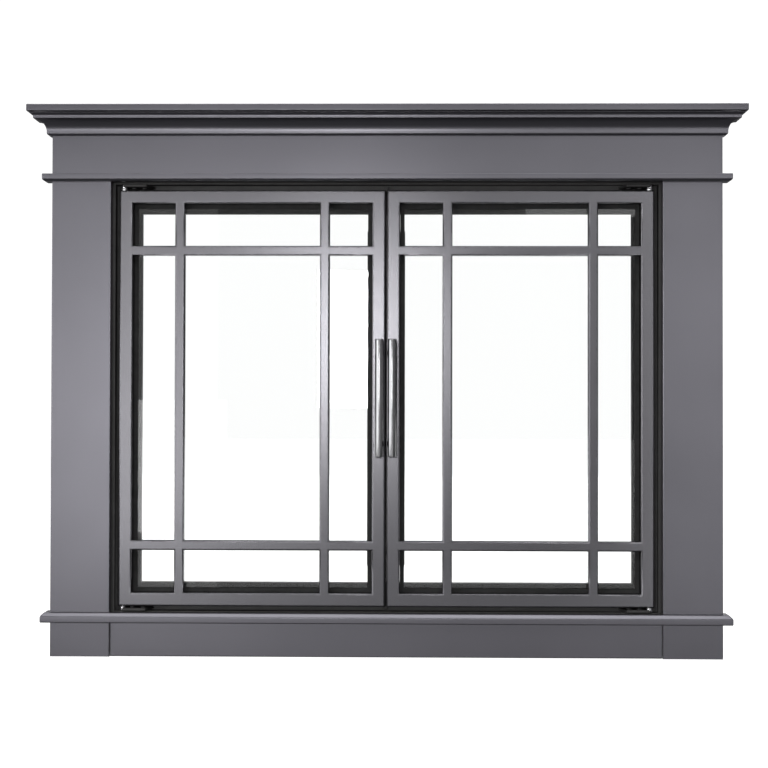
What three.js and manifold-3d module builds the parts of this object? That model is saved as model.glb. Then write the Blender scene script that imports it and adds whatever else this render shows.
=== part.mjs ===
// Fireplace glass door: a folded steel surround shaped like a mantel, a mitred door frame inside it, and two
// glazed doors that swing on pivot pins. Millimetres, +Z up. The front faces -Y, and the floor is at z = 0.
import * as THREE from "three";
import { mergeVertices } from "three/addons/utils/BufferGeometryUtils.js";
import Module from "manifold-3d";

const wasm = await Module();
wasm.setup();

// ---- Driving dimensions -------------------------------------------------------------------------------------
// Depths ("d") are measured back from the face of the pilasters; z is height above the floor.
const sheet = 1.5; // steel sheet of the surround and of the door frame unit
const seat = 0.2; // clearance between pieces that lie against each other
const mitreGap = 0.3; // clearance along each mitred corner

const bodyWidth = 952.5; // over the pilasters
const bodyDepth = 15; // from the wall to the pilaster face
const totalHeight = 780;
const pilasterWidth = 84.75;
const innerReturn = 13; // depth of the surround's edge towards the doors
const hemWidth = 12; // folded edges that stiffen the sheets

const capProjection = 30;
const capHeight = 10;
const capLip = 10; // in-turned edge under the cap
const crownBeadProjection = 6.5;
const crownBeadRadius = 3.5;
const crownBeadHeight = 5;
const crownCoveHeight = 16.5;
const crownCoveReach = 21.3;
const crownStepHeight = 2.6;
const crownStepReach = 22.1;
const crownSmallCove = 4.2;

const headerHeight = 100; // from the header's lower edge to the top of the cap
const headerFlange = 12;
const neckBandDrop = 5.4; // how far the neck band hangs below the header
const neckBandHeight = 10.3;
const neckBandProjection = 12;
const neckBandBevel = 2.5;
const baseBandBottom = 49.2;
const baseBandHeight = 14;
const baseBandProjection = 12;
const baseBandBevel = 5.2;
const plinthDrop = 2; // plinth top below the base band's top
const plinthSetback = 3; // plinth face behind the pilaster face
const plinthGap = 0.8; // at each end of the plinth

const frameReveal = 2.5; // dark line between a pilaster and the frame unit
const headGap = 1; // frame unit's head below the neck band
const sideFlange = 34.7;
const topFlange = 39;
const bottomFlange = 38.8;
const rearLip = 11;

const doorSideGap = 6.4;
const doorHeadGap = 8.1;
const doorSillGap = 7.1;
const doorRearGap = 5; // door tube to the frame unit's flange
const meetingGap = 2;
const doorSetback = 8;
const tube = 19; // door frame tube, square
const tubeWall = 1.5;
const tubeRadius = 2.5;
const muntinWidth = 14;
const muntinDepth = 12;
const muntinWall = 1.4;
const muntinRadius = 2.4;
const cornerPane = 60.5; // clear width and height of the small corner panes

const gasketWall = 1.2;
const gasketLip = 6;
const glassThickness = 4;
const glassClearance = 0.1;
const retainerWidth = 12;
const retainerLap = 7; // how far a retainer reaches over the pane
const retainerThickness = 1.5;
const retainerInset = 38; // from the ends of the pane opening

const pivotInset = 5.5; // pivot axis from the door's hinge edge
const pinRadius = 3;
const pinClearance = 0.35;
const pinReach = 14; // how far a pin stands into the door tube
const collarRadius = 5;
const barrelRadius = 4.7;
const barrelHeight = 5;
const strapThickness = 4;
const strapFront = 5; // depth of the strap's front edge
const strapLength = 42; // from the pivot axis
const strapTaper = 8;
const strapHoleRadius = 2.6;
const strapHoleInset = 14;
const strapHolePitch = 15;

const handleLength = 166;
const handleRadius = 6;
const handleEdge = 1.5; // rounding at the ends of the bar
const handleProjection = 31; // door face to bar axis
const handlePostInset = 18; // post axis from the end of the bar
const handlePostRadius = 4;
const handlePostBase = 5.5;
const handlePostFlare = 2;
const handleInset = 8; // bar axis from the door's meeting edge

const catchWidth = 36;
const catchHeight = 16;
const catchOverhang = 2; // how far a magnet block stands past the door's edge
const catchGap = 0.8; // magnet face to the closed door
const catchStem = 6;

const bracketThickness = 2.5;
const bracketWidth = 40;
const bracketReach = 60;
const lintelBracketX = 200;
const lintelLeg = 28;
const lintelArmRise = 3; // top of the arm above the head of the frame
const floorBracketX = 250;
const floorLegLap = 28.6; // how far the floor bracket's leg rises behind the flange
const slotWidth = 7;
const slotLength = 36;
const slotMargin = 8; // slot end to the bracket's rear edge
const boltHoleRadius = 3.2;

// ---- Dimensions that follow ---------------------------------------------------------------------------------
const halfWidth = bodyWidth / 2;
const openingHalf = halfWidth - pilasterWidth;
const capBottom = totalHeight - capHeight;
const crownTip = capBottom - seat - sheet - crownSmallCove;
const crownCoveTop = crownTip - crownStepHeight;
const crownCoveBottom = crownCoveTop - crownCoveHeight;
const crownBottom = crownCoveBottom - crownBeadHeight;
const headerBottom = totalHeight - headerHeight;
const neckBandBottom = headerBottom - neckBandDrop;
const baseBandTop = baseBandBottom + baseBandHeight;
const plinthHeight = baseBandTop - plinthDrop;

const frameHalfWidth = openingHalf - frameReveal - sheet; // inside face of the frame unit's legs
const frameTop = neckBandBottom - headGap - sheet;
const frameBottom = baseBandTop + seat;
const frameSetback = innerReturn + seat; // the frame unit's front hem lies behind the surround's hem
const flangeDepth = doorSetback + tube + doorRearGap; // the doors close in front of the flange
const bracketDepth = flangeDepth + sheet + seat;
const rearReach = bracketDepth + bracketReach;
const handleReach = handleProjection + handleRadius - doorSetback;
const frontReach = Math.max(capProjection, handleReach);
const originDepth = (rearReach - frontReach) / 2; // the origin is centred between front and rear

const doorHalfWidth = frameHalfWidth - doorSideGap; // centre line to a door's hinge edge
const doorBottom = frameBottom + doorSillGap;
const doorTop = frameTop - doorHeadGap;
const doorWidth = doorHalfWidth - meetingGap / 2;
const doorHeight = doorTop - doorBottom;
const pivotX = doorHalfWidth - pivotInset;
const pivotDepth = doorSetback + tube / 2;

const toY = (depth) => depth - originDepth;
const vec = (x, y, z) => new THREE.Vector3(x, y, z);

// ---- Materials ----------------------------------------------------------------------------------------------
const finish = (color, roughness, metalness) => new THREE.MeshStandardMaterial({ color, roughness, metalness });
const gunmetal = finish(0x6f6e75, 0.42, 0.6);
const darkFrame = finish(0x33312f, 0.6, 0.3);
const zinc = finish(0xc9cacd, 0.25, 1.0);
const blackGloss = finish(0x0c0c0e, 0.12, 0.4);
const rubber = finish(0x18181a, 0.85, 0.0);
const clearGlass = new THREE.MeshStandardMaterial({
  color: 0xdfe8e4, roughness: 0.03, metalness: 0, transparent: true, opacity: 0.2,
});

// ---- Solid helpers ------------------------------------------------------------------------------------------
function toSolid(geometry) {
  const bare = geometry.clone();
  bare.deleteAttribute("normal");
  bare.deleteAttribute("uv");
  const merged = mergeVertices(bare, 1e-4);
  return new wasm.Manifold(new wasm.Mesh({
    numProp: 3,
    vertProperties: new Float32Array(merged.attributes.position.array),
    triVerts: new Uint32Array(merged.index.array),
  }));
}

function toGeometry(solid) {
  const mesh = solid.getMesh();
  const geometry = new THREE.BufferGeometry();
  geometry.setAttribute("position", new THREE.BufferAttribute(new Float32Array(mesh.vertProperties), 3));
  geometry.setIndex(new THREE.BufferAttribute(new Uint32Array(mesh.triVerts), 1));
  return geometry;
}

function cut(geometry, ...tools) {
  const solid = tools.reduce((rest, tool) => rest.subtract(toSolid(tool)), toSolid(geometry));
  return toGeometry(solid);
}

// A box between two corners.
function block(x0, x1, y0, y1, z0, z1) {
  const box = new THREE.BoxGeometry(x1 - x0, y1 - y0, z1 - z0);
  box.translate((x0 + x1) / 2, (y0 + y1) / 2, (z0 + z1) / 2);
  return box;
}

// Mirrors a finished geometry left to right and turns its faces out again.
function mirrored(geometry) {
  const copy = geometry.index ? geometry.toNonIndexed() : geometry.clone();
  copy.scale(-1, 1, 1);
  flipFaces(copy);
  return copy;
}

function flipFaces(geometry) {
  const position = geometry.attributes.position;
  for (let i = 0; i < position.count; i += 3) {
    const b = vec().fromBufferAttribute(position, i + 1);
    const c = vec().fromBufferAttribute(position, i + 2);
    position.setXYZ(i + 1, c.x, c.y, c.z);
    position.setXYZ(i + 2, b.x, b.y, b.z);
  }
}

function signedVolume(geometry) {
  const position = geometry.attributes.position;
  let total = 0;
  for (let i = 0; i < position.count; i += 3) {
    const [a, b, c] = [0, 1, 2].map((k) => vec().fromBufferAttribute(position, i + k));
    total += a.dot(b.cross(c)) / 6;
  }
  return total;
}

// The outline of a folded strip: the outer line, and the same line moved by the sheet's thickness to its left.
function foldedOutline(line, thickness = sheet) {
  const inner = line.map((point, i) => {
    const before = line[Math.max(i - 1, 0)];
    const after = line[Math.min(i + 1, line.length - 1)];
    const normals = [];
    if (i > 0) normals.push(leftNormal(before, point));
    if (i < line.length - 1) normals.push(leftNormal(point, after));
    const sum = normals.reduce((total, normal) => total.add(normal), new THREE.Vector2());
    const scale = thickness * normals.length / sum.lengthSq();
    return point.clone().addScaledVector(sum, scale);
  });
  return [...line, ...inner.reverse()];
}

function leftNormal(from, to) {
  const along = to.clone().sub(from).normalize();
  return new THREE.Vector2(-along.y, along.x);
}

// Runs a closed outline through a row of stations. Each station turns an outline point into a place in space.
function loft(outline, stations) {
  const rings = stations.map((station) => outline.map(station));
  const count = outline.length;
  const corners = [];
  for (let s = 0; s + 1 < rings.length; s += 1) {
    for (let i = 0; i < count; i += 1) {
      const j = (i + 1) % count;
      corners.push(rings[s][i], rings[s][j], rings[s + 1][j]);
      corners.push(rings[s][i], rings[s + 1][j], rings[s + 1][i]);
    }
  }
  const counterClockwise = !THREE.ShapeUtils.isClockWise(outline);
  for (const [a, b, c] of THREE.ShapeUtils.triangulateShape(outline, [])) {
    const last = rings[rings.length - 1];
    const first = rings[0];
    if (counterClockwise) {
      corners.push(first[a], first[c], first[b], last[a], last[b], last[c]);
    } else {
      corners.push(first[a], first[b], first[c], last[a], last[c], last[b]);
    }
  }
  const geometry = new THREE.BufferGeometry().setFromPoints(corners);
  if (signedVolume(geometry) < 0) flipFaces(geometry);
  return geometry;
}

// Straight bar along X, Y or Z from a 2D outline of the other two axes.
const alongX = (outline, x0, x1) => loft(outline, [x0, x1].map((x) => (p) => vec(x, toY(p.x), p.y)));
const alongZ = (outline, z0, z1) => loft(outline, [z0, z1].map((z) => (p) => vec(p.x, toY(p.y), z)));

// A moulding that runs round the left side, the front and the right side of the surround, mitred at its two
// corners. Outline points are (projection from the body, height).
function wrapRound(outline, rear = bodyDepth) {
  return loft(outline, [
    (p) => vec(-halfWidth - p.x, toY(rear), p.y),
    (p) => vec(-halfWidth - p.x, toY(-p.x), p.y),
    (p) => vec(halfWidth + p.x, toY(-p.x), p.y),
    (p) => vec(halfWidth + p.x, toY(rear), p.y),
  ]);
}

const points = (...pairs) => pairs.map(([x, y]) => new THREE.Vector2(x, y));

// Points of an open line made of straight and round stretches.
function linePoints(draw, divisions) {
  const path = new THREE.Path();
  draw(path);
  return path.getPoints(divisions).filter((p, i, all) => i === 0 || p.distanceTo(all[i - 1]) > 1e-4);
}

function roundedRect(x0, x1, y0, y1, radius, divisions = 2) {
  return linePoints((path) => {
    path.absarc(x1 - radius, y1 - radius, radius, 0, Math.PI / 2);
    path.absarc(x0 + radius, y1 - radius, radius, Math.PI / 2, Math.PI);
    path.absarc(x0 + radius, y0 + radius, radius, Math.PI, 1.5 * Math.PI);
    path.absarc(x1 - radius, y0 + radius, radius, 1.5 * Math.PI, 2 * Math.PI);
  }, divisions);
}

// A solid of revolution about an upright axis; the profile is (radius, height).
function turned(profile, x, depth, segments = 20) {
  const lathe = new THREE.LatheGeometry(points(...profile), segments);
  lathe.rotateX(Math.PI / 2);
  lathe.translate(x, toY(depth), 0);
  return outward(lathe);
}

function outward(geometry) {
  const loose = geometry.index ? geometry.toNonIndexed() : geometry;
  if (signedVolume(loose) < 0) flipFaces(loose);
  return loose;
}

// ---- Surround -----------------------------------------------------------------------------------------------
function mantelCap() {
  const reach = halfWidth + capProjection;
  const front = toY(-capProjection);
  const rear = toY(bodyDepth);
  const inset = sheet;
  const tray = block(-reach, reach, front, rear, capBottom, totalHeight);
  const hollow = block(-reach + inset, reach - inset, front + inset, rear + inset, capBottom + sheet,
    totalHeight - sheet);
  const mouth = block(-reach + capLip, reach - capLip, front + capLip, rear + inset, capBottom - sheet,
    capBottom + 2 * sheet);
  return cut(tray, hollow, mouth);
}

function crownMoulding() {
  const line = linePoints((path) => {
    path.moveTo(seat, crownBottom);
    path.lineTo(crownBeadProjection - crownBeadRadius, crownBottom);
    path.absarc(crownBeadProjection - crownBeadRadius, crownBottom + crownBeadRadius, crownBeadRadius,
      -Math.PI / 2, 0);
    path.lineTo(crownBeadProjection, crownCoveBottom);
    path.absellipse(crownCoveReach, crownCoveBottom, crownCoveReach - crownBeadProjection,
      crownCoveHeight, Math.PI, Math.PI / 2, true);
    path.lineTo(crownStepReach, crownCoveTop);
    path.lineTo(crownStepReach, crownTip);
    path.absarc(crownStepReach + crownSmallCove, crownTip, crownSmallCove, Math.PI, Math.PI / 2, true);
  }, 4);
  return wrapRound(foldedOutline(line));
}

function headerPanel() {
  const top = totalHeight - sheet - seat;
  const line = points([-innerReturn, headerBottom + hemWidth], [-innerReturn, headerBottom], [0, headerBottom],
    [0, top], [-headerFlange, top]);
  return wrapRound(foldedOutline(line), bodyDepth - seat);
}

function neckBand() {
  const top = neckBandBottom + neckBandHeight;
  return wrapRound(foldedOutline(points([seat, neckBandBottom], [neckBandProjection - neckBandBevel,
    neckBandBottom], [neckBandProjection, neckBandBottom + neckBandBevel], [neckBandProjection, top],
  [seat, top])));
}

function baseBand() {
  return wrapRound(foldedOutline(points([seat, baseBandBottom], [baseBandProjection, baseBandBottom],
    [baseBandProjection, baseBandTop - baseBandBevel], [baseBandProjection - baseBandBevel, baseBandTop],
    [seat, baseBandTop])));
}

function pilaster() {
  const line = points([openingHalf + hemWidth, innerReturn], [openingHalf, innerReturn], [openingHalf, 0],
    [halfWidth, 0], [halfWidth, bodyDepth], [halfWidth - hemWidth, bodyDepth]);
  return alongZ(foldedOutline(line), 0, headerBottom - seat);
}

function plinthPanel() {
  const line = points([plinthSetback + hemWidth, 0], [plinthSetback, 0], [plinthSetback, plinthHeight],
    [innerReturn, plinthHeight], [innerReturn, plinthHeight - hemWidth]);
  return alongX(foldedOutline(line, -sheet), -openingHalf + plinthGap, openingHalf - plinthGap);
}

// ---- Door frame unit ----------------------------------------------------------------------------------------
// Section of the frame unit: (distance outward from the leg's inside face, depth).
function frameSection(flange) {
  return foldedOutline(points([hemWidth + sheet, frameSetback], [0, frameSetback], [0, flangeDepth],
    [-flange, flangeDepth], [-flange, flangeDepth + rearLip]), -sheet);
}

// How far a frame piece's end moves for a point of its section, so that neighbours meet on the mitre.
const mitreShift = (outward, flange, otherFlange) => (outward > 0 ? outward : outward * otherFlange / flange);

function jamb() {
  const end = (z, sign, flange) => (p) => vec(frameHalfWidth + p.x, toY(p.y),
    z + sign * (mitreShift(p.x, sideFlange, flange) - mitreGap / 2));
  return loft(frameSection(sideFlange), [end(frameBottom, -1, bottomFlange), end(frameTop, 1, topFlange)]);
}

function frameRail(z, sign, flange) {
  const end = (side) => (p) => vec(side * (frameHalfWidth + mitreShift(p.x, flange, sideFlange) - mitreGap / 2),
    toY(p.y), z + sign * p.x);
  return loft(frameSection(flange), [end(-1), end(1)]);
}

// Strap that carries a pivot barrel: its end is hollowed to hug the barrel and its other end is tapered.
function hingeStrap(z) {
  const notch = barrelRadius + seat;
  const inner = pivotX - strapLength;
  const strapRear = flangeDepth - 2 * seat;
  const shape = new THREE.Shape();
  shape.moveTo(inner, toY(strapRear));
  shape.lineTo(inner + strapTaper, toY(strapFront));
  shape.lineTo(pivotX, toY(strapFront));
  shape.lineTo(pivotX, toY(pivotDepth) - notch);
  shape.absarc(pivotX, toY(pivotDepth), notch, -Math.PI / 2, Math.PI / 2, true);
  shape.lineTo(pivotX, toY(strapRear));
  for (const offset of [strapHoleInset, strapHoleInset + strapHolePitch]) {
    const hole = new THREE.Path();
    hole.absarc(pivotX - offset, toY((frameSetback + flangeDepth) / 2), strapHoleRadius, 0, 2 * Math.PI);
    shape.holes.push(hole);
  }
  const plate = new THREE.ExtrudeGeometry(shape, {
    depth: strapThickness, bevelEnabled: false, curveSegments: 8,
  });
  plate.translate(0, 0, z);
  return outward(plate);
}

const strapZ = { lower: frameBottom + seat, upper: frameTop - seat - strapThickness };
const barrelZ = { lower: frameBottom + seat, upper: frameTop - seat - barrelHeight };

function hingeBarrel(z) {
  const bore = pinRadius + pinClearance;
  return turned([[bore, z], [barrelRadius, z], [barrelRadius, z + barrelHeight], [bore, z + barrelHeight],
    [bore, z]], pivotX, pivotDepth);
}

// Pin with a collar between barrel and door; "up" is 1 for the lower pin and -1 for the upper one.
function pivotPin(up) {
  const barrelStart = up > 0 ? barrelZ.lower : barrelZ.upper + barrelHeight;
  const barrelEnd = barrelStart + up * barrelHeight;
  const doorEdge = up > 0 ? doorBottom : doorTop;
  const levels = [barrelStart + up * seat, barrelEnd + up * seat, doorEdge - up * seat,
    doorEdge + up * pinReach];
  return turned([[0, levels[0]], [pinRadius, levels[0]], [pinRadius, levels[1]], [collarRadius, levels[1]],
    [collarRadius, levels[2]], [pinRadius, levels[2]], [pinRadius, levels[3]], [0, levels[3]]],
  pivotX, pivotDepth);
}

// Magnet block behind the meeting stiles with a stem that reaches the frame; "up" is 1 at the top.
function magneticCatch(up) {
  const edge = up > 0 ? doorTop : doorBottom;
  const frameEdge = up > 0 ? frameTop : frameBottom;
  const near = edge + up * catchOverhang;
  const far = near - up * catchHeight;
  const end = frameEdge - up * seat;
  const shape = new THREE.Shape(points([-catchWidth / 2, far], [catchWidth / 2, far], [catchWidth / 2, near],
    [catchStem / 2, near], [catchStem / 2, end], [-catchStem / 2, end], [-catchStem / 2, near],
    [-catchWidth / 2, near]));
  const depths = [doorSetback + tube + catchGap, flangeDepth - seat];
  return loft(shape.getPoints(), depths.map((d) => (p) => vec(p.x, toY(d), p.y)));
}

// ---- Mounting brackets --------------------------------------------------------------------------------------
// Upright slot or hole cutter through a plate that lies flat.
function slotCutter(x, depth, z) {
  const half = slotLength / 2 - slotWidth / 2;
  const shape = new THREE.Shape();
  shape.absarc(x, toY(depth) + half, slotWidth / 2, 0, Math.PI);
  shape.absarc(x, toY(depth) - half, slotWidth / 2, Math.PI, 2 * Math.PI);
  const slot = new THREE.ExtrudeGeometry(shape, { depth: 4 * bracketThickness, bevelEnabled: false,
    curveSegments: 4 });
  slot.translate(0, 0, z - 2 * bracketThickness);
  return outward(slot);
}

function boltCutter(x, depth, z) {
  const hole = new THREE.CylinderGeometry(boltHoleRadius, boltHoleRadius, 4 * bracketThickness, 12);
  hole.translate(x, toY(depth), z);
  return outward(hole);
}

function angleBracket(x, line, armZ, boltZ) {
  const start = x - bracketWidth / 2;
  const slotDepth = rearReach - slotMargin - slotLength / 2;
  const plate = alongX(foldedOutline(line, bracketThickness), start, start + bracketWidth);
  return cut(plate, slotCutter(x, slotDepth, armZ), boltCutter(x, bracketDepth, boltZ));
}

function lintelBracket() {
  const armZ = frameTop + lintelArmRise;
  const line = points([rearReach, armZ], [bracketDepth, armZ], [bracketDepth, armZ - lintelLeg]);
  return angleBracket(lintelBracketX, line, armZ, armZ - lintelLeg / 2);
}

function floorBracket() {
  const line = points([bracketDepth, frameBottom + floorLegLap], [bracketDepth, 0], [rearReach, 0]);
  return angleBracket(floorBracketX, line, 0, frameBottom + floorLegLap / 2);
}

// ---- Doors (the right-hand door; the left one is its mirror image) ------------------------------------------
const doorInnerX = meetingGap / 2;

// Square tube with mitred ends. "across" maps the section's first coordinate, 0 at the door's outer edge.
function doorTube(place, length) {
  const outer = roundedRect(0, tube, 0, tube, tubeRadius);
  const inner = roundedRect(tubeWall, tube - tubeWall, tubeWall, tube - tubeWall, tubeRadius - tubeWall, 1);
  const clear = mitreGap / 2;
  const skin = loft(outer, [(p) => place(p.x, p.y, p.x + clear), (p) => place(p.x, p.y, length - p.x - clear)]);
  const bore = loft(inner, [(p) => place(p.x, p.y, -tube), (p) => place(p.x, p.y, length + tube)]);
  return cut(skin, bore);
}

const hingeStile = () => doorTube((a, d, t) => vec(doorHalfWidth - a, toY(doorSetback + d), doorBottom + t),
  doorHeight);
const meetingStile = () => doorTube((a, d, t) => vec(doorInnerX + a, toY(doorSetback + d), doorBottom + t),
  doorHeight);

function pinHole(z) {
  const radius = pinRadius + pinClearance;
  const hole = new THREE.CylinderGeometry(radius, radius, 4 * tubeWall, 16);
  hole.rotateX(Math.PI / 2);
  hole.translate(pivotX, toY(pivotDepth), z);
  return outward(hole);
}

function doorRail(edge, up) {
  const rail = doorTube((a, d, t) => vec(doorInnerX + t, toY(doorSetback + d), edge + up * a), doorWidth);
  return cut(rail, pinHole(edge));
}

const paneLeft = doorInnerX + tube;
const paneRight = doorHalfWidth - tube;
const paneBottom = doorBottom + tube;
const paneTop = doorTop - tube;
const muntinOffset = cornerPane + muntinWidth / 2;
const muntinX = { inner: paneLeft + muntinOffset, outer: paneRight - muntinOffset };
const muntinZ = { lower: paneBottom + muntinOffset, upper: paneTop - muntinOffset };

const muntinFront = doorSetback;
const muntinRear = doorSetback + muntinDepth;
const lapDepth = (muntinFront + muntinRear) / 2;
const lapHalf = muntinWidth / 2 + seat;
const overrun = 1; // how far a cutting block stands past what it cuts

function muntinBar(toPlace, start, end) {
  const half = muntinWidth / 2;
  const outer = roundedRect(-half, half, muntinFront, muntinRear, muntinRadius);
  const inner = roundedRect(-half + muntinWall, half - muntinWall, muntinFront + muntinWall,
    muntinRear - muntinWall, muntinRadius - muntinWall, 1);
  const skin = loft(outer, [start + seat, end - seat].map((t) => (p) => toPlace(p.x, p.y, t)));
  const bore = loft(inner, [start - half, end + half].map((t) => (p) => toPlace(p.x, p.y, t)));
  return cut(skin, bore);
}

// Upright bars run through in front; their backs are notched where the cross bars pass.
function uprightMuntin(x) {
  const bar = muntinBar((across, d, t) => vec(x + across, toY(d), t), paneBottom, paneTop);
  const notches = Object.values(muntinZ).map((z) => block(x - muntinWidth, x + muntinWidth,
    toY(lapDepth - seat / 2), toY(muntinRear + overrun), z - lapHalf, z + lapHalf));
  return cut(bar, ...notches);
}

function crossMuntin(z) {
  const bar = muntinBar((across, d, t) => vec(t, toY(d), z + across), paneLeft, paneRight);
  const notches = Object.values(muntinX).map((x) => block(x - lapHalf, x + lapHalf,
    toY(muntinFront - overrun), toY(lapDepth + seat / 2), z - muntinWidth, z + muntinWidth));
  return cut(bar, ...notches);
}

// The gasket wraps the pane's edge and fills the gap to the tubes.
const gasketFront = muntinRear + seat;
const glassFront = gasketFront + gasketWall + glassClearance;
const glassRear = glassFront + glassThickness;
const gasketRear = glassRear + glassClearance + gasketWall;
const gasketOuter = seat; // inside the tubes
const glassEdge = gasketOuter + gasketWall + glassClearance;

const paneBlock = (inset, front, rear) => block(paneLeft + inset, paneRight - inset, toY(front), toY(rear),
  paneBottom + inset, paneTop - inset);

const glassPane = () => paneBlock(glassEdge, glassFront, glassRear);

function glassGasket() {
  const groove = paneBlock(glassEdge - glassClearance, gasketFront + gasketWall, gasketRear - gasketWall);
  const window = paneBlock(gasketOuter + gasketLip, gasketFront - overrun, gasketRear + overrun);
  return cut(paneBlock(gasketOuter, gasketFront, gasketRear), groove, window);
}

// Flat strip behind an upright edge of the pane; "edge" is the tube's inside face and "side" points to the pane.
function glassRetainer(edge, side) {
  const front = Math.max(doorSetback + tube, gasketRear) + seat;
  const near = edge + side * retainerLap;
  const far = near - side * retainerWidth;
  return block(Math.min(near, far), Math.max(near, far), toY(front), toY(front + retainerThickness),
    paneBottom + retainerInset, paneTop - retainerInset);
}

const handleX = doorInnerX + handleInset;
const handleZ = (doorBottom + doorTop) / 2;
const handleDepth = doorSetback - handleProjection;

function handleBar() {
  const half = handleLength / 2;
  const profile = linePoints((path) => {
    path.moveTo(0, handleZ - half);
    path.lineTo(handleRadius - handleEdge, handleZ - half);
    path.absarc(handleRadius - handleEdge, handleZ - half + handleEdge, handleEdge, -Math.PI / 2, 0);
    path.absarc(handleRadius - handleEdge, handleZ + half - handleEdge, handleEdge, 0, Math.PI / 2);
    path.lineTo(0, handleZ + half);
  }, 2).map((p) => [p.x, p.y]);
  return turned(profile, handleX, handleDepth, 24);
}

// Round post from the stile's face to the bar; its bar end is hollowed to the bar's curve.
function handlePost(sign) {
  const face = doorSetback - seat;
  const length = face - handleDepth;
  const lathe = new THREE.LatheGeometry(points([0, 0], [handlePostBase, 0], [handlePostBase, handlePostFlare],
    [handlePostRadius, 2 * handlePostFlare], [handlePostRadius, length], [0, length]), 20);
  lathe.rotateX(Math.PI);
  const z = handleZ + sign * (handleLength / 2 - handlePostInset);
  lathe.translate(handleX, toY(face), z);
  const reach = handleRadius + seat;
  const barSpace = new THREE.CylinderGeometry(reach, reach, 4 * handlePostRadius, 32);
  barSpace.rotateX(Math.PI / 2);
  barSpace.translate(handleX, toY(handleDepth), z);
  return cut(outward(lathe), outward(barSpace));
}

// ---- Assembly -----------------------------------------------------------------------------------------------
const object = new THREE.Group();

function add(parent, name, geometry, material) {
  const mesh = new THREE.Mesh(geometry, material);
  mesh.name = name;
  parent.add(mesh);
}

// Adds a piece and its mirror image, named by side.
function addPair(parent, name, geometry, material) {
  add(parent, `${name}_right`, geometry, material);
  add(parent, `${name}_left`, mirrored(geometry), material);
}

const surround = new THREE.Group();
add(surround, "mantel_cap", mantelCap(), gunmetal);
add(surround, "crown_moulding", crownMoulding(), gunmetal);
add(surround, "header_panel", headerPanel(), gunmetal);
add(surround, "neck_band", neckBand(), gunmetal);
addPair(surround, "pilaster", pilaster(), gunmetal);
add(surround, "base_band", baseBand(), gunmetal);
add(surround, "plinth_panel", plinthPanel(), gunmetal);
object.add(surround);

const frameUnit = new THREE.Group();
add(frameUnit, "head_rail", frameRail(frameTop, 1, topFlange), darkFrame);
add(frameUnit, "sill_rail", frameRail(frameBottom, -1, bottomFlange), darkFrame);
addPair(frameUnit, "jamb", jamb(), darkFrame);
for (const level of ["upper", "lower"]) {
  addPair(frameUnit, `hinge_strap_${level}`, hingeStrap(strapZ[level]), darkFrame);
  addPair(frameUnit, `hinge_barrel_${level}`, hingeBarrel(barrelZ[level]), zinc);
  add(frameUnit, `magnetic_catch_${level}`, magneticCatch(level === "upper" ? 1 : -1), darkFrame);
}
addPair(frameUnit, "lintel_bracket", lintelBracket(), darkFrame);
addPair(frameUnit, "floor_bracket", floorBracket(), darkFrame);
object.add(frameUnit);

const doorPieces = {
  hinge_stile: [hingeStile(), gunmetal],
  meeting_stile: [meetingStile(), gunmetal],
  top_rail: [doorRail(doorTop, -1), gunmetal],
  bottom_rail: [doorRail(doorBottom, 1), gunmetal],
  muntin_upright_outer: [uprightMuntin(muntinX.outer), gunmetal],
  muntin_upright_inner: [uprightMuntin(muntinX.inner), gunmetal],
  muntin_cross_upper: [crossMuntin(muntinZ.upper), gunmetal],
  muntin_cross_lower: [crossMuntin(muntinZ.lower), gunmetal],
  glass: [glassPane(), clearGlass],
  glass_gasket: [glassGasket(), rubber],
  glass_retainer_outer: [glassRetainer(paneRight, -1), darkFrame],
  glass_retainer_inner: [glassRetainer(paneLeft, 1), darkFrame],
  handle_bar: [handleBar(), blackGloss],
  handle_post_upper: [handlePost(1), blackGloss],
  handle_post_lower: [handlePost(-1), blackGloss],
  pivot_pin_upper: [pivotPin(-1), zinc],
  pivot_pin_lower: [pivotPin(1), zinc],
};

const rightDoor = new THREE.Group();
const leftDoor = new THREE.Group();
for (const [name, [geometry, material]] of Object.entries(doorPieces)) {
  add(rightDoor, `right_door_${name}`, geometry, material);
  add(leftDoor, `left_door_${name}`, mirrored(geometry), material);
}
object.add(rightDoor, leftDoor);

export default object;
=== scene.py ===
"""Fireplace glass door: finishes, folded edges, welded door grids, fasteners and the studio around it."""

import math

import bmesh
import bpy
from bpy.props import FloatProperty, FloatVectorProperty, IntProperty, PointerProperty
from mathutils import Matrix, Quaternion, Vector


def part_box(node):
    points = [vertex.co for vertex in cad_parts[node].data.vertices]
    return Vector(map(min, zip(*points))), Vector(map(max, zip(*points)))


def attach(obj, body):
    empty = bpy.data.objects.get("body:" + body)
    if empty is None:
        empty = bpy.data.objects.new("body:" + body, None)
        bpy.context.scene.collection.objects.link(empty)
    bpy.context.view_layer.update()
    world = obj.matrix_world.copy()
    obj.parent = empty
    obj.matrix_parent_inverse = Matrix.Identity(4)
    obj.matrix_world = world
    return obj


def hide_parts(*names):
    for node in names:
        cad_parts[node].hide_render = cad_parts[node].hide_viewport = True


bl_info = {
    "name": "Fireplace Glass Door",
    "version": (1, 0, 0),
    "blender": (4, 5, 0),
    "location": "3D View > Sidebar > Fireplace Door",
    "description": "Dresses a fireplace surround with two glazed grid doors",
    "category": "Object",
}

MM = 0.001

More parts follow.
